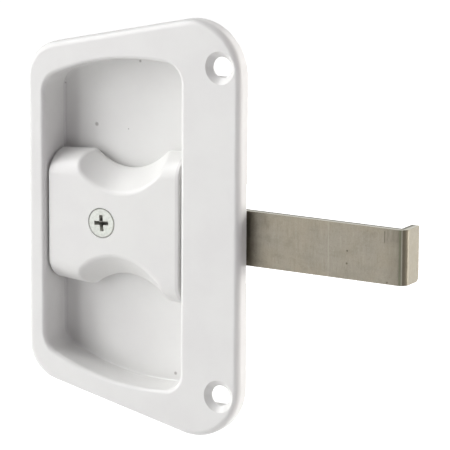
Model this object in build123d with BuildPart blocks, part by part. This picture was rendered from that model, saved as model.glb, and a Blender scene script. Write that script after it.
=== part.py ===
"""Latch for a sliding screen door: a recessed pull with a thumb slide and a hooked latch strip.

X runs towards the strike, Y into the door and Z up, in millimetres. The origin lies midway between
the two screw holes, on the face of the door that the flange rests on.
"""

import math
import os

from build123d import *

# Flange
screw_spacing = 76.2
screw_bore = 4.8
countersink_width = 7.6
countersink_angle = 100.0
strike_margin = 5.3
strike_end_margin = 13.5
far_rim = 4.8
far_end_rim = 7.0
flange_thickness = 3.6
flange_skin = 1.6
flange_rim = 1.8
edge_roll = 1.5
strike_corner_radius = 12.5
far_corner_radius = 9.0
boss_wall = 1.6
rib_count = 3
rib_thickness = 1.2
rib_spacing = 20.0
back_relief = 0.3

# Recess behind the flange
recess_inset = 10.3
recess_width = 36.9
recess_half_height = 38.5
recess_drop = 0.3
recess_depth = 9.0
recess_crown = 9.2
recess_end_radius = 60.0
recess_strike_corner = 4.6
recess_far_corner = 5.0
recess_lip = 1.0
recess_floor_fillet = 0.4
cup_wall = 1.8

# Thumb slide
slide_gap_far = 0.55
slide_gap_strike = 0.9
slide_gap_floor = 0.3
slide_sink = 1.0
slide_half_height_far = 15.7
slide_half_height_strike = 18.2
slide_roll = 5.9
slide_edge_radius = 0.4
scallop_radius = 18.0
scallop_tilt = 43.0
scallop_reach = 7.5
scallop_shift = 0.8
scallop_edge_radius = 1.6
core_wall = 2.0
core_web = 3.4
core_height = 3.4
core_depth = 5.0

# Travel of the thumb slide, measured from the middle of the recess
travel = 5.0
rest_drop = 1.25

# Latch strip
strip_width = 12.7
strip_thickness = 1.8
strip_sink = 4.6
strip_reach = 45.0
strip_tail = 0.8
strip_bend_radius = 0.2
tab_depth = 6.7
tab_corner_radius = 1.2
strip_clearance = 0.2
channel_clearance = 0.15
adjusting_slot_length = 13.0

# Screw, nut and spring that clamp and steady the strip
screw_from_far = 15.1
screw_width = 3.5
screw_head_width = 7.0
screw_head_angle = 82.0
screw_head_clearance = 0.1
screw_clearance = 0.2
screw_tip = 0.3
thread_clearance = 0.03
cross_span = 3.8
cross_arm = 0.95
cross_depth = 1.6
cross_taper = 14.0
cross_turn = 4.0
nut_length = 9.0
nut_thickness = 1.6
nut_clearance = 0.15
nut_chamfer = 0.3
spring_thickness = 0.3
spring_width = 8.0
spring_rise_span = 7.8
spring_tip_span = 5.2
spring_bend_radius = 3.0
spring_tip_rise = 0.9
spring_floor_gap = 0.3

# Places along Y, from the room into the door
front = -flange_thickness
recess_floor = front + recess_depth
cup_back = recess_floor + cup_wall
slide_face = front + slide_sink
slide_back = recess_floor - slide_gap_floor
strip_front = front + strip_sink
strip_back = strip_front + strip_thickness
spring_back = strip_back + spring_thickness
nut_back = spring_back + nut_thickness

# Places along X, from the far rim to the strike
recess_strike = -recess_inset
recess_far = recess_strike - recess_width
recess_middle = (recess_strike + recess_far) / 2
crown_x = recess_strike - recess_crown
flange_far = recess_far - far_rim
slide_far = recess_far + slide_gap_far
slide_strike = recess_strike - slide_gap_strike
scallop_x = (slide_far + slide_strike) / 2 + scallop_shift
screw_x = recess_far + screw_from_far
strip_far = recess_far - cup_wall - strip_tail

# Places along Z
hole_z = screw_spacing / 2
recess_z = -recess_drop
slide_z = -rest_drop

# Outer radius of a screw boss
boss_radius = countersink_width / 2 + boss_wall

# The strip slides in tall slots, and faces and edges are picked this close to their places
slot_height = strip_width + 2 * travel + 2 * strip_clearance
touching = 0.01


def facing(depth):
    """Give the drawing plane at a place along Y, seen from the room, with X across and Z up."""
    return Plane.XZ.offset(-depth)


def recess_end_height(place):
    """Give the half height of the recess at a place along X, on the arc that closes its ends."""
    across = place - crown_x
    return recess_half_height - recess_end_radius + math.sqrt(recess_end_radius**2 - across**2)


def recess_outline():
    """Draw the mouth of the recess: two upright sides joined by two slightly bowed ends."""
    strike_height = recess_end_height(recess_strike)
    far_height = recess_end_height(recess_far)
    strike_top = (recess_strike, recess_z + strike_height)
    strike_bottom = (recess_strike, recess_z - strike_height)
    far_top = (recess_far, recess_z + far_height)
    far_bottom = (recess_far, recess_z - far_height)
    with BuildSketch() as outline:
        with BuildLine():
            Line(strike_bottom, strike_top)
            ThreePointArc(strike_top, (crown_x, recess_z + recess_half_height), far_top)
            Line(far_top, far_bottom)
            ThreePointArc(far_bottom, (crown_x, recess_z - recess_half_height), strike_bottom)
        make_face()
        fillet(outline.vertices().group_by(Axis.X)[-1], radius=recess_strike_corner)
        fillet(outline.vertices().group_by(Axis.X)[0], radius=recess_far_corner)
    return outline.sketch


def flange_outline():
    """Draw the flange: a trapezoid, taller on the strike side, with four rounded corners."""
    strike_height = hole_z + strike_end_margin
    far_height = recess_end_height(recess_far) + far_end_rim
    with BuildSketch() as outline:
        with BuildLine():
            Polyline(
                (flange_far, -far_height),
                (strike_margin, -strike_height),
                (strike_margin, strike_height),
                (flange_far, far_height),
                close=True,
            )
        make_face()
        fillet(outline.vertices().group_by(Axis.X)[-1], radius=strike_corner_radius)
        fillet(outline.vertices().group_by(Axis.X)[0], radius=far_corner_radius)
    return outline.sketch


# Faceplate: flange, recess and screw bosses in one white moulding
with BuildPart() as faceplate:
    with BuildSketch(facing(0)):
        add(flange_outline())
    extrude(amount=flange_thickness)
    fillet(faceplate.faces().sort_by(Axis.Y)[0].edges(), radius=edge_roll)

    # The back of the flange is hollow inside its rim
    hollow = flange_thickness - flange_skin
    with BuildSketch(facing(0)):
        add(flange_outline())
        offset(amount=-flange_rim)
    extrude(amount=hollow, mode=Mode.SUBTRACT)

    # Cup around the recess
    with BuildSketch(facing(-hollow)):
        add(recess_outline())
        offset(amount=cup_wall)
    extrude(amount=-(hollow + cup_back))

    # Screw bosses, and stiffening ribs between the cup and the strike side
    with BuildSketch(facing(-hollow)):
        with Locations((0, hole_z), (0, -hole_z)):
            Circle(boss_radius)
        add(flange_outline(), mode=Mode.INTERSECT)
    extrude(amount=-hollow)
    rib_start = recess_strike + cup_wall / 2
    rib_end = strike_margin - flange_rim / 2
    with BuildSketch(facing(-hollow)):
        with Locations(((rib_start + rib_end) / 2, 0)):
            with GridLocations(0, rib_spacing, 1, rib_count):
                Rectangle(rib_end - rib_start, rib_thickness)
    extrude(amount=-(hollow - back_relief))

    # The rim on the strike side is relieved where the strip passes behind it
    with BuildSketch(facing(0)):
        with Locations((strike_margin, 0)):
            Rectangle(4 * flange_rim, slot_height)
    extrude(amount=back_relief, mode=Mode.SUBTRACT)

    # The recess itself, its rolled mouth and its softened floor
    with BuildSketch(facing(front)):
        add(recess_outline())
    extrude(amount=-recess_depth, mode=Mode.SUBTRACT)
    front_edges = faceplate.edges().filter_by_position(Axis.Y, front - touching, front + touching)
    mouth_edges = front_edges.filter_by_position(
        Axis.X, recess_far - touching, recess_strike + touching
    )
    fillet(mouth_edges, radius=recess_lip)
    floor_face = faceplate.faces().filter_by(Axis.Y).filter_by_position(
        Axis.Y, recess_floor - touching, recess_floor + touching
    )
    fillet(floor_face.edges(), radius=recess_floor_fillet)

    # Countersunk holes for the two mounting screws
    with Locations(facing(front)):
        with Locations((0, hole_z), (0, -hole_z)):
            CounterSinkHole(
                radius=screw_bore / 2,
                counter_sink_radius=countersink_width / 2,
                counter_sink_angle=countersink_angle,
            )

    # Behind the flange's skin each boss is open on the side towards the cup
    with BuildSketch(facing(0)):
        with Locations((0, hole_z), (0, -hole_z)):
            Rectangle(boss_radius, screw_bore, align=(Align.MAX, Align.CENTER))
    extrude(amount=hollow, mode=Mode.SUBTRACT)

    # Tall slots through both side walls, where the latch strip slides up and down
    with BuildSketch(facing(strip_front - strip_clearance)):
        with Locations((recess_middle, 0)):
            Rectangle(recess_width + 4 * cup_wall, slot_height)
    extrude(amount=-(strip_thickness + 2 * strip_clearance), mode=Mode.SUBTRACT)

faceplate.part.label = "faceplate"


# Thumb slide: rolled over at both ends, with a thumb scallop in each
with BuildPart() as thumb_slide:
    # Its upper half slants up towards the strike, and its lower half mirrors that
    slide_width = slide_strike - slide_far
    slant = math.atan((slide_half_height_strike - slide_half_height_far) / slide_width)
    face_top = slide_z + slide_half_height_far - slide_roll
    body_base = slide_z - 2 * slide_half_height_strike
    with BuildSketch(Plane.YZ.offset(slide_far)):
        with BuildLine():
            Line((slide_face, body_base), (slide_face, face_top))
            EllipticalCenterArc(
                (slide_back, face_top),
                slide_back - slide_face,
                slide_roll,
                start_angle=90,
                arc_size=90,
            )
            Line((slide_back, face_top + slide_roll), (slide_back, body_base))
            Line((slide_back, body_base), (slide_face, body_base))
        make_face()
    extrude(amount=slide_width / math.cos(slant), dir=(math.cos(slant), 0, math.sin(slant)))
    mirror(about=Plane.XY.offset(slide_z), mode=Mode.INTERSECT)

    # Countersunk hole for the clamp screw
    with Locations(facing(slide_face)):
        with Locations((screw_x, slide_z)):
            CounterSinkHole(
                radius=screw_width / 2 + screw_clearance,
                counter_sink_radius=screw_head_width / 2 + screw_head_clearance,
                counter_sink_angle=screw_head_angle,
            )

    # Both scallops widen from the face down to the recess floor
    tilt = math.radians(scallop_tilt)
    for side in (1, -1):
        axis_z = slide_z + side * (scallop_reach + scallop_radius / math.cos(tilt))
        scallop = Plane(
            origin=(scallop_x, slide_face, axis_z),
            x_dir=(1, 0, 0),
            z_dir=(0, math.cos(tilt), side * math.sin(tilt)),
        )
        with BuildSketch(scallop):
            Circle(scallop_radius)
        extrude(amount=2 * recess_depth, both=True, mode=Mode.SUBTRACT)
        fillet(thumb_slide.edges(Select.LAST), radius=scallop_edge_radius)

    # The sides of the face are softened where they run along the recess walls
    sides = thumb_slide.edges().filter_by(Axis.Z).group_by(Axis.Y)[0]
    fillet(sides, radius=slide_edge_radius)

    # A channel across the back holds the latch strip, the nut and the spring
    channel_height = strip_width + 2 * channel_clearance
    with BuildSketch(facing(strip_front)):
        with Locations((recess_middle, slide_z)):
            Rectangle(recess_width, channel_height)
    extrude(amount=-recess_depth, mode=Mode.SUBTRACT)

    # The four lobes beside the scallops are cored out from the back
    with BuildSketch(facing(slide_back)):
        for side in (1, -1):
            core_z = slide_z + side * (channel_height / 2 + core_wall + core_height / 2)
            with Locations((slide_far + core_wall + core_web / 2, core_z)):
                Rectangle(core_web, core_height)
            with Locations((slide_strike - core_wall - core_web / 2, core_z)):
                Rectangle(core_web, core_height)
    extrude(amount=core_depth, mode=Mode.SUBTRACT)

thumb_slide.part.label = "thumb_slide"


# Latch strip: flat steel with an adjusting slot, its end bent back into the strike
with BuildPart() as latch_strip:
    with BuildSketch(Plane.XY.offset(slide_z - strip_width / 2)):
        with BuildLine():
            FilletPolyline(
                (strip_far, strip_front),
                (strip_reach, strip_front),
                (strip_reach, strip_front + tab_depth),
                radius=strip_bend_radius + strip_thickness,
            )
            offset(amount=strip_thickness, side=Side.LEFT)
        make_face()
    extrude(amount=strip_width)
    tab_corners = latch_strip.edges().filter_by(Axis.X).group_by(Axis.Y)[-1]
    fillet(tab_corners.sort_by(Axis.Z)[0], radius=tab_corner_radius)
    with BuildSketch(facing(strip_front)):
        with Locations((screw_x, slide_z)):
            SlotOverall(adjusting_slot_length, screw_width + 2 * screw_clearance)
    extrude(amount=-strip_thickness, mode=Mode.SUBTRACT)

latch_strip.part.label = "latch_strip"


# Clamp screw: flat head with a crossed recess, flush with the face of the thumb slide
with BuildPart() as clamp_screw:
    head_depth = (screw_head_width - screw_width) / 2 / math.tan(math.radians(screw_head_angle / 2))
    with BuildSketch(Plane.XY.offset(slide_z)):
        with BuildLine():
            Polyline(
                (screw_x, slide_face),
                (screw_x + screw_head_width / 2, slide_face),
                (screw_x + screw_width / 2, slide_face + head_depth),
                (screw_x + screw_width / 2, nut_back + screw_tip),
                (screw_x, nut_back + screw_tip),
                close=True,
            )
        make_face()
    revolve(axis=Axis((screw_x, 0, slide_z), (0, 1, 0)))
    with BuildSketch(facing(slide_face)):
        with Locations((screw_x, slide_z)):
            Rectangle(cross_span, cross_arm, rotation=cross_turn)
            Rectangle(cross_arm, cross_span, rotation=cross_turn)
    extrude(amount=-cross_depth, taper=cross_taper, mode=Mode.SUBTRACT)

clamp_screw.part.label = "clamp_screw"


# Clamp nut: a tapped plate that the sides of the channel keep from turning
with BuildPart() as clamp_nut:
    with BuildSketch(facing(spring_back)):
        with Locations((screw_x, slide_z)):
            Rectangle(nut_length, channel_height - 2 * nut_clearance)
    extrude(amount=-nut_thickness)
    chamfer(clamp_nut.faces().sort_by(Axis.Y)[-1].edges(), length=nut_chamfer)
    with BuildSketch(facing(spring_back)):
        with Locations((screw_x, slide_z)):
            Circle(screw_width / 2 + thread_clearance)
    extrude(amount=-nut_thickness, mode=Mode.SUBTRACT)

clamp_nut.part.label = "clamp_nut"


# Friction spring: a leaf clamped under the nut that bows back to the floor of the recess
with BuildPart() as friction_spring:
    foot_far = screw_x - nut_length / 2
    foot_strike = screw_x + nut_length / 2 + spring_thickness
    crown_y = recess_floor - spring_floor_gap
    with BuildSketch(Plane.XY.offset(slide_z - spring_width / 2)):
        with BuildLine():
            FilletPolyline(
                (foot_far, spring_back),
                (foot_strike, spring_back),
                (foot_strike + spring_rise_span, crown_y),
                (foot_strike + spring_rise_span + spring_tip_span, crown_y - spring_tip_rise),
                radius=spring_bend_radius,
            )
            offset(amount=spring_thickness, side=Side.RIGHT)
        make_face()
    extrude(amount=spring_width)
    with BuildSketch(facing(strip_back)):
        with Locations((screw_x, slide_z)):
            Circle(screw_width / 2 + screw_clearance)
    extrude(amount=-spring_thickness, mode=Mode.SUBTRACT)

friction_spring.part.label = "friction_spring"

os.makedirs("parts", exist_ok=True)
for piece in (faceplate, thumb_slide, latch_strip, clamp_screw, clamp_nut, friction_spring):
    export_step(piece.part, f"parts/{piece.part.label}.step")
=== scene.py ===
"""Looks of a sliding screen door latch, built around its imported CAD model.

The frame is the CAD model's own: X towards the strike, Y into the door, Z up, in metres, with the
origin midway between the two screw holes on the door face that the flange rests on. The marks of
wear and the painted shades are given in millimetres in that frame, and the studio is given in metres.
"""

from __future__ import annotations

import logging
import math
from dataclasses import dataclass, field
from enum import Enum
from typing import Union

import bpy
from mathutils import Matrix, Vector

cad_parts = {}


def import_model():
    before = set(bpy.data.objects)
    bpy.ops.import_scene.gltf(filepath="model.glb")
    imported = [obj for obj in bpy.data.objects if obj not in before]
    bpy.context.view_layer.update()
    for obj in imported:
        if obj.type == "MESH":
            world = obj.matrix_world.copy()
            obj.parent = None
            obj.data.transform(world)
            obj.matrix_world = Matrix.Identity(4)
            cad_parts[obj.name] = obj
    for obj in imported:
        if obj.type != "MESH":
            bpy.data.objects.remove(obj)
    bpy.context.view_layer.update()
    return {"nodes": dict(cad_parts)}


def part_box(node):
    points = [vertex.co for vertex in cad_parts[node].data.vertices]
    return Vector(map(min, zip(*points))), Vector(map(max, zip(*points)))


LOG = logging.getLogger("latch")
MM = 0.001
BUMP_STRENGTH = 0.5
UNSTRETCHED = (1.0, 1.0, 1.0)

Colour = tuple[float, float, float]
Point = tuple[float, float, float]
Socket = bpy.types.NodeSocket
Value = Union[Socket, float, Colour]


class Op(Enum):
    """The operations of the Math nodes."""

    MULTIPLY = "MULTIPLY"
    MULTIPLY_ADD = "MULTIPLY_ADD"
    SUBTRACT = "SUBTRACT"
    SQRT = "SQRT"
    MAXIMUM = "MAXIMUM"
    MINIMUM = "MINIMUM"
    GREATER_THAN = "GREATER_THAN"


@dataclass(frozen=True)
class Grain:
    """A noise: its cells per metre, its finer layers and their strength, and a scale for each axis."""

    scale: float
    detail: float = 3.0
    rough: float = 0.55
    stretch: Point = UNSTRETCHED


@dataclass(frozen=True)
class Fade:
    """A smooth change from low to high while something goes from start to end."""

    start: float
    end: float
    low: float = 0.0
    high: float = 1.0


@dataclass(frozen=True)
class Band:
    """A range of a length with soft ends, in millimetres."""

    start: float
    end: float
    soft: float


@dataclass(frozen=True)
class Tone:
    """A colour that is laid over another one, and how much of it shows."""

    colour: Colour
    strength: float


class Graph:
    """A short hand for building the node tree of one material or world."""

    def __init__(self, tree: bpy.types.NodeTree) -> None:
        """Take over a node tree and empty it.

        Args:
            tree: The tree of a material or a world.
        """
        self.tree = tree
        self.noises: dict[Grain, Socket] = {}
        tree.nodes.clear()
        self.source = self.node("ShaderNodeTexCoord")

    def node(self, kind: str, **settings: object) -> bpy.types.Node:
        """Add a node.

        Args:
            kind: The node's type name.
            settings: Attributes to set on the node.

        Returns:
            The new node.
        """
        made = self.tree.nodes.new(kind)
        for name, value in settings.items():
            setattr(made, name, value)
        return made

    def feed(self, target: Socket, value: object) -> None:
        """Link a socket to a target, or set the target's own value.

        Args:
            target: The input socket.
            value: An output socket, or a plain value.
        """
        if isinstance(value, Socket):
            self.tree.links.new(value, target)
        else:
            target.default_value = value

    def math(self, operation: Op, *values: Value) -> Socket:
        """Add a Math node.

        Args:
            operation: The Math node's operation.
            values: Sockets or numbers for its inputs.

        Returns:
            The result socket.
        """
        made = self.node("ShaderNodeMath", operation=operation.value)
        for socket, value in zip(made.inputs, values):
            self.feed(socket, value)
        return made.outputs[0]

    def fade(self, value: Socket, fade: Fade, origin: float = 0.0, unit: float = 1.0) -> Socket:
        """Turn a value into a smooth change between two levels, held at both ends.

        Args:
            value: The incoming socket.
            fade: Where the change lies, and its two levels.
            origin: What the start and the end are counted from, in the fade's units.
            unit: The size of the fade's unit.

        Returns:
            The changed socket.
        """
        made = self.node("ShaderNodeMapRange", interpolation_type="SMOOTHSTEP")
        made.inputs["From Min"].default_value = (origin + fade.start) * unit
        made.inputs["From Max"].default_value = (origin + fade.end) * unit
        made.inputs["To Min"].default_value = fade.low
        made.inputs["To Max"].default_value = fade.high
        self.feed(made.inputs["Value"], value)
        return made.outputs["Result"]

    def band(self, length: Socket, band: Band, origin: float = 0.0) -> Socket:
        """Mark a range of a length, with soft ends.

        Args:
            length: The incoming socket, in metres.
            band: The range, in millimetres.
            origin: What the range is counted from, in millimetres.

        Returns:
            A socket that is 1 in the range and 0 outside it.
        """
        rising = self.fade(length, Fade(band.start - band.soft, band.start), origin, MM)
        falling = self.fade(length, Fade(band.end, band.end + band.soft, 1.0, 0.0), origin, MM)
        return self.math(Op.MULTIPLY, rising, falling)

    def mix(self, factor: Value, first: Value, second: Value) -> Socket:
        """Mix two colours.

        Args:
            factor: How much of the second colour shows.
            first: The first colour, a socket or a colour.
            second: The second colour, a socket or a colour.

        Returns:
            The mixed colour socket.
        """
        made = self.node("ShaderNodeMix", data_type="RGBA")
        self.feed(made.inputs["Factor"], factor)
        self.feed(made.inputs["A"], opaque(first))
        self.feed(made.inputs["B"], opaque(second))
        return made.outputs["Result"]

    def lay(self, base: Value, where: Socket, tone: Tone) -> Socket:
        """Lay a tone over a colour.

        Args:
            base: The colour below, a socket or a colour.
            where: A socket that is 1 where the tone lies.
            tone: The tone.

        Returns:
            The colour with the tone on it.
        """
        return self.mix(self.math(Op.MULTIPLY, where, tone.strength), base, tone.colour)

    def seen(self) -> Socket:
        """Tell what the camera sees, straight, in a gloss or through glass, from other rays.

        Returns:
            A socket that is 1 for what the camera sees and 0 for other rays.
        """
        path = self.node("ShaderNodeLightPath")
        rays = [path.outputs[f"Is {kind} Ray"] for kind in ("Camera", "Glossy", "Transmission")]
        return self.math(Op.MAXIMUM, self.math(Op.MAXIMUM, rays[0], rays[1]), rays[2])

    def place(self) -> Socket:
        """Give the point in the object's own space, in metres."""
        return self.source.outputs["Object"]

    def split(self, vector: Socket) -> list[Socket]:
        """Give the three parts of a vector.

        Args:
            vector: The vector socket.

        Returns:
            The sockets of its X, Y and Z.
        """
        made = self.node("ShaderNodeSeparateXYZ")
        self.feed(made.inputs[0], vector)
        return list(made.outputs)

    def stretched(self, scale: Point) -> Socket:
        """Give the object's own space scaled along its axes.

        Args:
            scale: The factor along each axis.

        Returns:
            The scaled vector socket.
        """
        if scale == UNSTRETCHED:
            return self.place()
        made = self.node("ShaderNodeMapping")
        self.feed(made.inputs["Vector"], self.place())
        made.inputs["Scale"].default_value = scale
        return made.outputs["Vector"]

    def noise(self, grain: Grain) -> Socket:
        """Give a noise in the object's own space, with one texture node for each grain.

        Args:
            grain: The noise's kind.

        Returns:
            The noise value socket.
        """
        if grain not in self.noises:
            made = self.node("ShaderNodeTexNoise")
            self.feed(made.inputs["Vector"], self.stretched(grain.stretch))
            made.inputs["Scale"].default_value = grain.scale
            made.inputs["Detail"].default_value = grain.detail
            made.inputs["Roughness"].default_value = grain.rough
            self.noises[grain] = made.outputs["Fac"]
        return self.noises[grain]

    def bump(self, height: Socket, distance: float) -> Socket:
        """Add a bump node.

        Args:
            height: The height socket.
            distance: The height of one unit, in metres.

        Returns:
            The bumped normal socket.
        """
        made = self.node("ShaderNodeBump")
        made.inputs["Distance"].default_value = distance
        made.inputs["Strength"].default_value = BUMP_STRENGTH
        self.feed(made.inputs["Height"], height)
        return made.outputs["Normal"]

    def spot(self, centre: Point, radius: float, soft: float) -> Socket:
        """Mark a small round spot at a place in the object's own space.

        Args:
            centre: The middle of the spot, in millimetres.
            radius: Its radius in millimetres.
            soft: The width of its soft edge in millimetres.

        Returns:
            A socket that is 1 in the spot and 0 around it.
        """
        away = self.node("ShaderNodeVectorMath", operation="DISTANCE")
        self.feed(away.inputs[0], self.place())
        away.inputs[1].default_value = tuple(part * MM for part in centre)
        return self.fade(away.outputs["Value"], Fade(radius, radius + soft, 1.0, 0.0), unit=MM)

    def surface(self, **inputs: Value) -> None:
        """Finish a material with one Principled shader.

        Args:
            inputs: Values or sockets by input name, with underscores for spaces.
        """
        shader = self.node("ShaderNodeBsdfPrincipled")
        for name, value in inputs.items():
            self.feed(shader.inputs[name.replace("_", " ")], value)
        output = self.node("ShaderNodeOutputMaterial")
        self.feed(output.inputs["Surface"], shader.outputs["BSDF"])

    def background(self, colour: Colour, strength: Value) -> Socket:
        """Add a Background shader for a world.

        Args:
            colour: Its colour.
            strength: Its strength, a socket or a number.

        Returns:
            The shader's socket.
        """
        made = self.node("ShaderNodeBackground")
        self.feed(made.inputs["Color"], opaque(colour))
        self.feed(made.inputs["Strength"], strength)
        return made.outputs[0]


def opaque(colour: Value) -> object:
    """Give a plain colour its alpha, and pass a socket on as it is.

    Args:
        colour: A colour or a socket.

    Returns:
        The colour with its alpha, or the same socket.
    """
    if isinstance(colour, tuple):
        return (*colour, 1.0)
    return colour


def new_material(name: str) -> tuple[bpy.types.Material, Graph]:
    """Make an empty material.

    Args:
        name: The material's name.

    Returns:
        The material and the graph of its nodes.
    """
    material = bpy.data.materials.new(name)
    material.use_nodes = True
    return material, Graph(material.node_tree)


def dress(obj: bpy.types.Object, material: bpy.types.Material) -> None:
    """Give an object one material in every slot.

    Args:
        obj: The object to dress.
        material: Its material.
    """
    if not obj.material_slots:
        obj.data.materials.append(material)
    for slot in obj.material_slots:
        slot.material = material


@dataclass(frozen=True)
class Pattern:
    """A tone laid on where a noise is high, or where it is low."""

    grain: Grain
    fade: Fade
    tone: Tone

    def over(self, graph: Graph, base: Value) -> Socket:
        """Lay the pattern over a colour."""
        return graph.lay(base, graph.fade(graph.noise(self.grain), self.fade), self.tone)


@dataclass(frozen=True)
class Shade:
    """A tone that comes or goes along a length, in millimetres."""

    fade: Fade
    tone: Tone

    def over(self, graph: Graph, base: Value, length: Socket, origin: float = 0.0) -> Socket:
        """Lay the shade over a colour.

        Args:
            graph: The material's graph.
            base: The colour below.
            length: The socket of the length, in metres.
            origin: What the shade's place is counted from, in millimetres.

        Returns:
            The shaded colour.
        """
        return graph.lay(base, graph.fade(length, self.fade, origin, MM), self.tone)


@dataclass(frozen=True)
class Stripe:
    """A tone over a narrow range of a length, in millimetres."""

    band: Band
    tone: Tone

    def over(self, graph: Graph, base: Value, length: Socket, origin: float = 0.0) -> Socket:
        """Lay the stripe over a colour.

        Args:
            graph: The material's graph.
            base: The colour below.
            length: The socket of the length, in metres.
            origin: What the stripe's place is counted from, in millimetres.

        Returns:
            The striped colour.
        """
        return graph.lay(base, graph.band(length, self.band, origin), self.tone)


@dataclass(frozen=True)
class Patch:
    """A tone over a range of X and a range of Z, in millimetres, that a noise may break up."""

    across: Band
    up: Band
    tone: Tone
    grain: Grain | None = None
    fade: Fade | None = None

    def over(self, graph: Graph, base: Value) -> Socket:
        """Lay the patch over a colour.

        Args:
            graph: The material's graph.
            base: The colour below.

        Returns:
            The colour with the patch on it.
        """
        x, _, z = graph.split(graph.place())
        where = graph.math(Op.MULTIPLY, graph.band(x, self.across), graph.band(z, self.up))
        if self.grain is not None and self.fade is not None:
            broken = graph.fade(graph.noise(self.grain), self.fade)
            where = graph.math(Op.MULTIPLY, where, broken)
        return graph.lay(base, where, self.tone)


@dataclass(frozen=True)
class PaintedShadeLine:
    """A line of painted shade in a corner of the plastic: over a range of X, behind one Y, in
    millimetres.
    """

    line: Band
    behind: float
    strength: float
    soft: float = 0.3

    def mask(self, graph: Graph) -> Socket:
        """Mark where the line lies.

        Args:
            graph: The material's graph.

        Returns:
            A socket that holds the line's strength on the line and 0 elsewhere.
        """
        x, y, _ = graph.split(graph.place())
        deep_shade = graph.fade(y, Fade(-self.soft, 0.0, 0.0, self.strength), self.behind, MM)
        return graph.math(Op.MULTIPLY, graph.band(x, self.line), deep_shade)


@dataclass(frozen=True, kw_only=True)
class WhitePlastic:
    """Satin white moulded plastic, faintly clouded, with dark specks moulded in and painted shade in
    corners and gaps.

    A speck is given by its middle and its radius, in millimetres. The shares of that radius say how
    far its solid core reaches and how wide its soft edge is.
    """

    name: str
    colour: Colour = (0.79, 0.79, 0.775)
    cloud: Colour = (0.76, 0.755, 0.745)
    cloud_grain: Grain = Grain(60.0, 4.0)
    cloud_fade: Fade = Fade(0.35, 0.7)
    fine_grain: Grain = Grain(5200.0, 2.0, 0.6)
    fine_fade: Fade = Fade(0.62, 0.8, 0.0, 0.10)
    relief: float = 0.000006
    speck: Tone = Tone((0.33, 0.31, 0.30), 0.75)
    speck_core_share: float = 0.4
    speck_edge_share: float = 0.8
    specks: tuple[tuple[Point, float], ...] = ()
    # The colour of the painted shade lines, a faintly lavender grey.
    corner_shade: Colour = (0.30, 0.275, 0.29)
    shade_lines: tuple[PaintedShadeLine, ...] = ()
    gloss_grain: Grain = Grain(420.0)
    gloss_fade: Fade = Fade(0.3, 0.7, 0.30, 0.40)
    refraction: float = 1.49

    def material(self) -> bpy.types.Material:
        """Build the plastic's material.

        Returns:
            The finished material.
        """
        material, graph = new_material(self.name)
        cloud = graph.fade(graph.noise(self.cloud_grain), self.cloud_fade)
        colour = graph.mix(cloud, self.colour, self.cloud)
        fine = graph.noise(self.fine_grain)
        colour = graph.mix(graph.fade(fine, self.fine_fade), colour, self.cloud)
        for centre, radius in self.specks:
            mark = graph.spot(centre, radius * self.speck_core_share, radius * self.speck_edge_share)
            colour = graph.lay(colour, mark, self.speck)
        # Painted shade lines that darken the plastic in corners and gaps.
        for line in self.shade_lines:
            colour = graph.mix(line.mask(graph), colour, self.corner_shade)
        graph.surface(
            Base_Color=colour,
            Roughness=graph.fade(graph.noise(self.gloss_grain), self.gloss_fade),
            IOR=self.refraction,
            Normal=graph.bump(fine, self.relief),
        )
        return material


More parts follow.
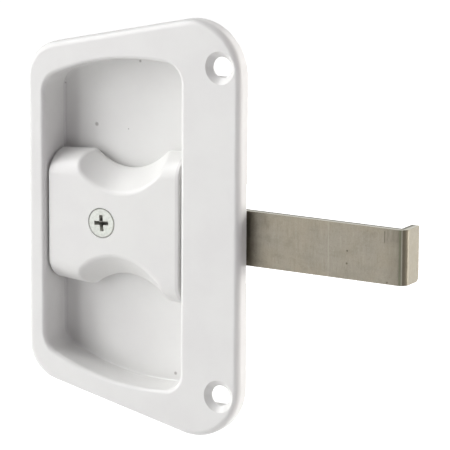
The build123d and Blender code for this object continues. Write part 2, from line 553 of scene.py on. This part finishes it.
@dataclass(frozen=True, kw_only=True)
class DullStrip:
    """Dull warm grey plated strip: drawn and pitted, with painted shade at the bend and by the plate, a
    tab painted paler as if lit, and a painted highlight and painted shade on its sheared upper edge.

    The sizes are in millimetres: the tab's outer face, the strip's front face and its thickness. The
    marks and painted shades at the bend are counted from the tab's outer face, those by the plate and
    along the strip from the frame's origin. The painted shade on the edge's far side is in shares of the
    thickness.
    """

    corner: float
    front: float
    thickness: float
    name: str = "strip_steel"
    colour: Colour = (0.214, 0.197, 0.161)
    dark: Colour = (0.140, 0.126, 0.098)
    warm: Colour = (0.222, 0.194, 0.143)
    pit: Colour = (0.095, 0.083, 0.062)
    rubbed: Colour = (0.32, 0.32, 0.27)
    # Painted highlight on the front of the upward-facing edge, and painted shade on its back.
    lit_edge: Colour = (0.50, 0.49, 0.42)
    shaded_back_edge: Colour = (0.15, 0.14, 0.11)
    drawn: Grain = Grain(2300.0, 4.0, 0.7, (1.0, 1.0, 0.12))
    speckle: Grain = Grain(3600.0, 3.0, 0.7)
    patterns: tuple[Pattern, ...] = (
        Pattern(Grain(90.0), Fade(0.40, 0.65), Tone(warm, 0.45)),
        Pattern(Grain(520.0, 6.0, 0.75), Fade(0.45, 0.70), Tone(dark, 0.40)),
        Pattern(drawn, Fade(0.50, 0.74), Tone(dark, 0.42)),
        Pattern(drawn, Fade(0.44, 0.28), Tone(rubbed, 0.22)),
        Pattern(speckle, Fade(0.56, 0.70), Tone(dark, 0.40)),
        Pattern(speckle, Fade(0.42, 0.28), Tone(rubbed, 0.22)),
    )
    dents: tuple[tuple[float, float], ...] = ((30.4, -4.0), (40.6, -7.2), (30.5, -1.1))
    dent_core: float = 0.12
    dent_edge: float = 0.22
    bend_shade: Shade = Shade(Fade(-5.5, -2.2), Tone(dark, 0.45))
    plate_shade: Shade = Shade(Fade(5.0, 7.6, 1.0, 0.0), Tone((0.090, 0.070, 0.045), 0.40))
    drawn_line: Stripe = Stripe(Band(25.64, 25.76, 0.12), Tone(rubbed, 0.25))
    stain: Patch = Patch(
        across=Band(40.3, 43.4, 0.9),
        up=Band(2.9, 4.4, 1.6),
        tone=Tone(pit, 0.42),
        grain=Grain(1500.0, 3.0, 0.7, (1.0, 1.0, 0.1)),
        fade=Fade(0.36, 0.62, 0.1, 1.0),
    )
    scratch: Patch = Patch(Band(39.8, 39.92, 0.18), Band(2.0, 4.3, 0.4), Tone(pit, 0.75))
    bruise: Stripe = Stripe(Band(-1.5, -1.2, 0.2), Tone((0.125, 0.130, 0.088), 0.75))
    # A paler line across the start of the bend.
    pale_bend_line: Stripe = Stripe(Band(-1.05, -0.98, 0.08), Tone(rubbed, 0.55))
    # Painted shade on the curve of the bend, and the tab beyond it painted paler as if lit.
    painted_bend_shade_fade: Fade = Fade(-0.95, -0.7)
    bend: Tone = Tone((0.085, 0.074, 0.052), 0.85)
    lit_tab_fade: Fade = Fade(1.25, 1.65)
    tab: Tone = Tone((0.318, 0.294, 0.238), 0.75)
    far_side: Fade = Fade(0.45, 0.65)
    upward: Fade = Fade(0.6, 0.9)
    gloss_grain: Grain = Grain(500.0, 4.0, 0.6)
    gloss_fade: Fade = Fade(0.3, 0.7, 0.36, 0.54)
    metallic: float = 0.85
    pit_grain: Grain = Grain(2600.0, 3.0, 0.65)
    pit_height: float = 0.6
    line_grain: Grain = Grain(1900.0, 3.0, 0.65, (1.0, 1.0, 0.05))
    relief: float = 0.00001

    def face(self, graph: Graph) -> Socket:
        """Give the colour of the flat face, with its clouding, drawn lines, pits, stain and scratch, and
        painted shade towards the bend and beside the plate.

        Args:
            graph: The material's graph.

        Returns:
            The colour socket.
        """
        x = graph.split(graph.place())[0]
        colour: Value = self.colour
        for pattern in self.patterns:
            colour = pattern.over(graph, colour)
        for across, up in self.dents:
            dent = graph.spot((across, self.front, up), self.dent_core, self.dent_edge)
            colour = graph.mix(dent, colour, self.pit)
        # Painted shade on the face towards the bend and beside the plate.
        colour = self.bend_shade.over(graph, colour, x, self.corner)
        colour = self.plate_shade.over(graph, colour, x)
        colour = self.drawn_line.over(graph, colour, x)
        colour = self.stain.over(graph, colour)
        return self.scratch.over(graph, colour)

    def bent(self, graph: Graph, base: Value) -> Socket:
        """Add the marks at the bend, painted shade on its curve, and the tab behind it painted paler as
        if lit.

        Args:
            graph: The material's graph.
            base: The flat face's colour.

        Returns:
            The colour socket with the bend and the tab.
        """
        x, y, _ = graph.split(graph.place())
        colour = self.bruise.over(graph, base, x, self.corner)
        colour = self.pale_bend_line.over(graph, colour, x, self.corner)
        # The tab painted paler as if lit, and painted shade on the curve of the bend up to it.
        tab = graph.fade(y, self.lit_tab_fade, self.front, MM)
        bend = graph.fade(x, self.painted_bend_shade_fade, self.corner, MM)
        bend = graph.math(Op.MULTIPLY, bend, graph.math(Op.SUBTRACT, 1.0, tab))
        return graph.lay(graph.lay(colour, bend, self.bend), tab, self.tab)

    def edged(self, graph: Graph, base: Value) -> Socket:
        """Paint the sheared upper edge: a painted highlight at the front and painted shade at the back.

        Args:
            graph: The material's graph.
            base: The colour of the faces.

        Returns:
            The colour socket with the edge.
        """
        x, y, _ = graph.split(graph.place())
        up = graph.split(graph.source.outputs["Normal"])[2]
        from_front = graph.math(Op.SUBTRACT, y, self.front * MM)
        from_tab = graph.math(Op.SUBTRACT, self.corner * MM, x)
        behind = graph.math(Op.MINIMUM, from_front, from_tab)
        far_side = graph.fade(behind, self.far_side, unit=self.thickness * MM)
        edge = graph.mix(far_side, self.lit_edge, self.shaded_back_edge)
        return graph.mix(graph.fade(up, self.upward), base, edge)

    def material(self) -> bpy.types.Material:
        """Build the strip's material.

        Returns:
            The finished material.
        """
        material, graph = new_material(self.name)
        lines = graph.noise(self.line_grain)
        height = graph.math(Op.MULTIPLY_ADD, graph.noise(self.pit_grain), self.pit_height, lines)
        graph.surface(
            Base_Color=self.edged(graph, self.bent(graph, self.face(graph))),
            Metallic=self.metallic,
            Roughness=graph.fade(graph.noise(self.gloss_grain), self.gloss_fade),
            Normal=graph.bump(height, self.relief),
        )
        return material


@dataclass(frozen=True, kw_only=True)
class PlatedSteel:
    """Pale plated steel with fine grain."""

    name: str
    colour: Colour = (0.435, 0.448, 0.418)
    cloud: Colour = (0.365, 0.378, 0.348)
    cloud_grain: Grain = Grain(1800.0, 4.0, 0.65)
    cloud_fade: Fade = Fade(0.38, 0.64)
    gloss_fade: Fade = Fade(0.3, 0.7, 0.30, 0.46)
    metallic: float = 0.9
    fine_grain: Grain = Grain(4000.0)
    relief: float = 0.000006

    def marked(self, graph: Graph, base: Value) -> Value:
        """Give the plating's colour with the piece's own marks, of which a plain piece has none.

        Args:
            graph: The material's graph.
            base: The plating's colour.

        Returns:
            The same colour.
        """
        return base

    def material(self) -> bpy.types.Material:
        """Build the plating's material.

        Returns:
            The finished material.
        """
        material, graph = new_material(self.name)
        cloud = graph.noise(self.cloud_grain)
        colour = graph.mix(graph.fade(cloud, self.cloud_fade), self.colour, self.cloud)
        graph.surface(
            Base_Color=self.marked(graph, colour),
            Metallic=self.metallic,
            Roughness=graph.fade(cloud, self.gloss_fade),
            Normal=graph.bump(graph.noise(self.fine_grain), self.relief),
        )
        return material


@dataclass(frozen=True, kw_only=True)
class PlatedScrew(PlatedSteel):
    """A plated screw with painted shade at its rim and in its crossed recess, darkest in the middle and
    painted lighter towards the arm tips.

    The head's face, its axis and its radius are in millimetres.
    """

    face: float
    axis: tuple[float, float]
    radius: float
    # Painted shade at the rim of the head, where it sits in the countersink.
    rim: Colour = (0.11, 0.11, 0.10)
    rim_shade_fade: Fade = Fade(-0.34, -0.14, 0.0, 0.8)
    # Painted shade in the middle of the crossed recess, and painted light towards the arm tips.
    deep_shade: Colour = (0.26, 0.26, 0.24)
    tip_light: Colour = (0.60, 0.60, 0.57)
    arm_fade: Fade = Fade(0.5, 1.6)
    recess_depth: Fade = Fade(0.03, 0.2)
    recess_reach: Fade = Fade(2.6, 2.7, 1.0, 0.0)

    def marked(self, graph: Graph, base: Value) -> Value:
        """Paint shade at the rim of the screw's head and in its crossed recess, with painted light
        towards the arm tips.

        Args:
            graph: The material's graph.
            base: The plating's own colour.

        Returns:
            The colour socket with the painted shade and light.
        """
        x, y, z = graph.split(graph.place())
        across = graph.math(Op.SUBTRACT, x, self.axis[0] * MM)
        up = graph.math(Op.SUBTRACT, z, self.axis[1] * MM)
        square = graph.math(Op.MULTIPLY_ADD, across, across, graph.math(Op.MULTIPLY, up, up))
        away = graph.math(Op.SQRT, square)
        colour = graph.mix(graph.fade(away, self.rim_shade_fade, self.radius, MM), base, self.rim)
        recess_shade_and_light = graph.mix(graph.fade(away, self.arm_fade, unit=MM), self.deep_shade, self.tip_light)
        behind_face = graph.fade(y, self.recess_depth, self.face, MM)
        inside = graph.fade(away, self.recess_reach, unit=MM)
        return graph.mix(graph.math(Op.MULTIPLY, behind_face, inside), colour, recess_shade_and_light)


@dataclass(frozen=True)
class PaleFloor:
    """Matt pale paper that shows white to the camera and in reflections."""

    name: str = "pale_floor"
    colour: Colour = (0.90, 0.90, 0.90)
    cloud: Colour = (0.88, 0.88, 0.88)
    cloud_grain: Grain = Grain(3.0, 2.0)
    glow: float = 0.82

    def material(self) -> bpy.types.Material:
        """Build the floor's material.

        Returns:
            The finished material.
        """
        material, graph = new_material(self.name)
        paper = graph.mix(graph.noise(self.cloud_grain), self.colour, self.cloud)
        diffuse = graph.node("ShaderNodeBsdfDiffuse")
        graph.feed(diffuse.inputs["Color"], paper)
        glow = graph.node("ShaderNodeEmission")
        graph.feed(glow.inputs["Strength"], graph.math(Op.MULTIPLY, graph.seen(), self.glow))
        both = graph.node("ShaderNodeAddShader")
        graph.feed(both.inputs[0], diffuse.outputs[0])
        graph.feed(both.inputs[1], glow.outputs[0])
        output = graph.node("ShaderNodeOutputMaterial")
        graph.feed(output.inputs["Surface"], both.outputs[0])
        return material


@dataclass
class Housing:
    """The white faceplate with its recess and screw bosses."""

    nodes: dict[str, bpy.types.Object]
    finish: WhitePlastic = field(
        default_factory=lambda: WhitePlastic(
            name="white_plastic_plate",
            specks=(
                ((-38.3, 5.4, 20.2), 0.55),
                ((-26.4, 5.4, 36.1), 0.36),
                ((-16.75, 5.4, -36.85), 0.45),
                ((-29.6, 5.4, 19.9), 0.20),
                ((-46.9, 5.4, 29.2), 0.24),
            ),
            # Painted shade along the recess corner on the side away from the strike, and a broader
            # painted shade on the floor beside it.
            shade_lines=(
                PaintedShadeLine(Band(-47.3, -46.7, 0.4), behind=5.1, strength=0.16),
                PaintedShadeLine(Band(-46.6, -44.2, 2.2), behind=5.1, strength=0.14),
            ),
        )
    )

    def dress(self) -> None:
        """Give the faceplate its plastic."""
        dress(self.nodes["faceplate"], self.finish.material())


@dataclass
class ThumbSlide:
    """The white thumb slide with its two scallops."""

    nodes: dict[str, bpy.types.Object]
    finish: WhitePlastic = field(
        default_factory=lambda: WhitePlastic(
            name="white_plastic_slide",
            colour=(0.79, 0.79, 0.77),
            # Painted shade along the slide's end towards the strike, beside the gap.
            shade_lines=(PaintedShadeLine(Band(-12.1, -10.95, 0.3), behind=-9.0, strength=0.24),),
        )
    )

    def dress(self) -> None:
        """Give the slide its plastic."""
        dress(self.nodes["thumb_slide"], self.finish.material())


@dataclass
class LatchStrip:
    """The flat steel strip with its bent tab. The thickness is in millimetres."""

    nodes: dict[str, bpy.types.Object]
    thickness: float = 1.8

    def dress(self) -> None:
        """Give the strip its dull plating, placed from the strip's own box."""
        low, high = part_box("latch_strip")
        finish = DullStrip(corner=high.x / MM, front=low.y / MM, thickness=self.thickness)
        dress(self.nodes["latch_strip"], finish.material())


@dataclass
class Fastenings:
    """The clamp screw, its nut and the friction spring."""

    nodes: dict[str, bpy.types.Object]
    nut: PlatedSteel = PlatedSteel(name="plated_nut", colour=(0.60, 0.61, 0.57))
    spring: PlatedSteel = PlatedSteel(
        name="blue_spring",
        colour=(0.36, 0.36, 0.37),
        cloud=(0.27, 0.27, 0.29),
    )

    def dress(self) -> None:
        """Give the three small metal pieces their finishes, the screw's placed from its own box."""
        low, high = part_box("clamp_screw")
        centre = (low + high) / 2
        screw = PlatedScrew(
            name="plated_screw",
            face=low.y / MM,
            axis=(centre.x / MM, centre.z / MM),
            radius=(high.x - low.x) / 2 / MM,
        )
        dress(self.nodes["clamp_screw"], screw.material())
        dress(self.nodes["clamp_nut"], self.nut.material())
        dress(self.nodes["friction_spring"], self.spring.material())


@dataclass(frozen=True)
class Lamp:
    """One soft rectangular lamp."""

    name: str
    place: Point
    aim: Point
    power: float
    size: float
    colour: Colour = (1.0, 1.0, 1.0)

    def build(self) -> None:
        """Add the lamp to the scene."""
        light = bpy.data.lights.new(self.name, "AREA")
        light.shape = "SQUARE"
        light.size = self.size
        light.energy = self.power
        light.color = self.colour
        lamp = bpy.data.objects.new(self.name, light)
        lamp.location = self.place
        direction = Vector(self.aim) - Vector(self.place)
        lamp.rotation_euler = direction.to_track_quat("-Z", "Y").to_euler()
        bpy.context.scene.collection.objects.link(lamp)


@dataclass
class Studio:
    """The pale floor, the white surroundings and the soft lamps.

    The surroundings light the latch from behind evenly, with the sweep's strength, and from the
    strike's side in front of it with the side's strength. The horizon is the change between them.
    """

    floor_height: float = -0.16
    floor_size: float = 6.0
    paper: PaleFloor = PaleFloor()
    sweep: float = 0.08
    side: float = 0.66
    horizon: Fade = Fade(-0.08, 0.08)
    tint: Colour = (0.99, 0.91, 1.0)
    white: Colour = (1.0, 1.0, 1.0)
    white_strength: float = 1.0
    lamps: tuple[Lamp, ...] = (
        Lamp("key_lamp", (-0.80, -0.85, 0.45), (-0.02, 0.0, 0.0), 7.0, 0.9),
        Lamp("left_lamp", (-1.00, -0.60, 0.10), (-0.02, 0.0, 0.0), 3.8, 0.6),
        Lamp("top_left_lamp", (-0.75, -0.40, 0.85), (-0.02, 0.0, 0.0), 6.8, 0.6),
        Lamp("rim_lamp", (1.10, 0.45, 0.10), (0.0, 0.0, 0.0), 9.8, 0.6, (1.0, 0.97, 0.93)),
        Lamp("back_lamp", (0.45, 1.15, 0.50), (0.0, 0.0, 0.0), 6.0, 0.9),
    )

    def build(self) -> None:
        """Build the floor, the world and the lamps."""
        self.build_floor()
        self.build_world()
        for lamp in self.lamps:
            lamp.build()
        bpy.context.scene.view_settings.view_transform = "Standard"

    def build_floor(self) -> None:
        """Lay a plain pale floor below the latch."""
        half = self.floor_size / 2
        outline = [(-half, -half), (half, -half), (half, half), (-half, half)]
        mesh = bpy.data.meshes.new("floor")
        mesh.from_pydata([(x, y, self.floor_height) for x, y in outline], [], [(0, 1, 2, 3)])
        floor = bpy.data.objects.new("floor", mesh)
        bpy.context.scene.collection.objects.link(floor)
        dress(floor, self.paper.material())

    def build_world(self) -> None:
        """Surround the latch with soft white light, weaker from the camera's side."""
        world = bpy.data.worlds.new("surround")
        world.use_nodes = True
        bpy.context.scene.world = world
        graph = Graph(world.node_tree)
        x, y, _ = graph.split(graph.source.outputs["Generated"])
        strike_side = graph.math(Op.GREATER_THAN, x, 0.0)
        side = graph.math(Op.MULTIPLY, strike_side, self.side)
        side = graph.math(Op.MULTIPLY, graph.math(Op.MULTIPLY, x, x), side)
        behind = graph.fade(y, self.horizon)
        in_front = graph.math(Op.SUBTRACT, 1.0, behind)
        sweep = graph.math(Op.MULTIPLY, behind, self.sweep)
        light = graph.background(self.tint, graph.math(Op.MULTIPLY_ADD, in_front, side, sweep))
        white = graph.background(self.white, self.white_strength)
        both = graph.node("ShaderNodeMixShader")
        graph.feed(both.inputs[0], graph.seen())
        graph.feed(both.inputs[1], light)
        graph.feed(both.inputs[2], white)
        output = graph.node("ShaderNodeOutputWorld")
        graph.feed(output.inputs["Surface"], both.outputs[0])


@dataclass(frozen=True)
class ViewPoint:
    """The camera, at the photograph's angle and distance."""

    azimuth: float = 30.141
    elevation: float = 12.350
    roll: float = 0.309
    lens: float = 268.4
    sensor: float = 36.0
    distance: float = 0.7583
    target: Point = (0.001620, -0.003636, 0.002351)
    nearest: float = 0.05
    farthest: float = 20.0

    def build(self) -> None:
        """Add the camera and make it the scene's own."""
        turn, rise, roll = (math.radians(angle) for angle in (self.azimuth, self.elevation, self.roll))
        flat = math.cos(rise)
        back = Vector((math.sin(turn) * flat, -math.cos(turn) * flat, math.sin(rise)))
        level = Vector((math.cos(turn), math.sin(turn), 0.0))
        upright = back.cross(level)
        right = math.cos(roll) * level + math.sin(roll) * upright
        up = math.cos(roll) * upright - math.sin(roll) * level
        data = bpy.data.cameras.new("camera")
        data.sensor_width = self.sensor
        data.lens = self.lens
        data.clip_start = self.nearest
        data.clip_end = self.farthest
        camera = bpy.data.objects.new("camera", data)
        axes = Matrix((right, up, back)).transposed().to_4x4()
        camera.matrix_world = Matrix.Translation(Vector(self.target) + back * self.distance) @ axes
        bpy.context.scene.collection.objects.link(camera)
        bpy.context.scene.camera = camera


def main() -> None:
    """Load the frame, dress every piece, and build the studio around it."""
    logging.basicConfig(level=logging.INFO, format="%(name)s: %(message)s")
    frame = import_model()
    ViewPoint().build()
    Studio().build()
    for assembly in (Housing, ThumbSlide, LatchStrip, Fastenings):
        assembly(frame["nodes"]).dress()
        LOG.info("dressed %s", assembly.__name__)


if __name__ == "__main__":
    main()
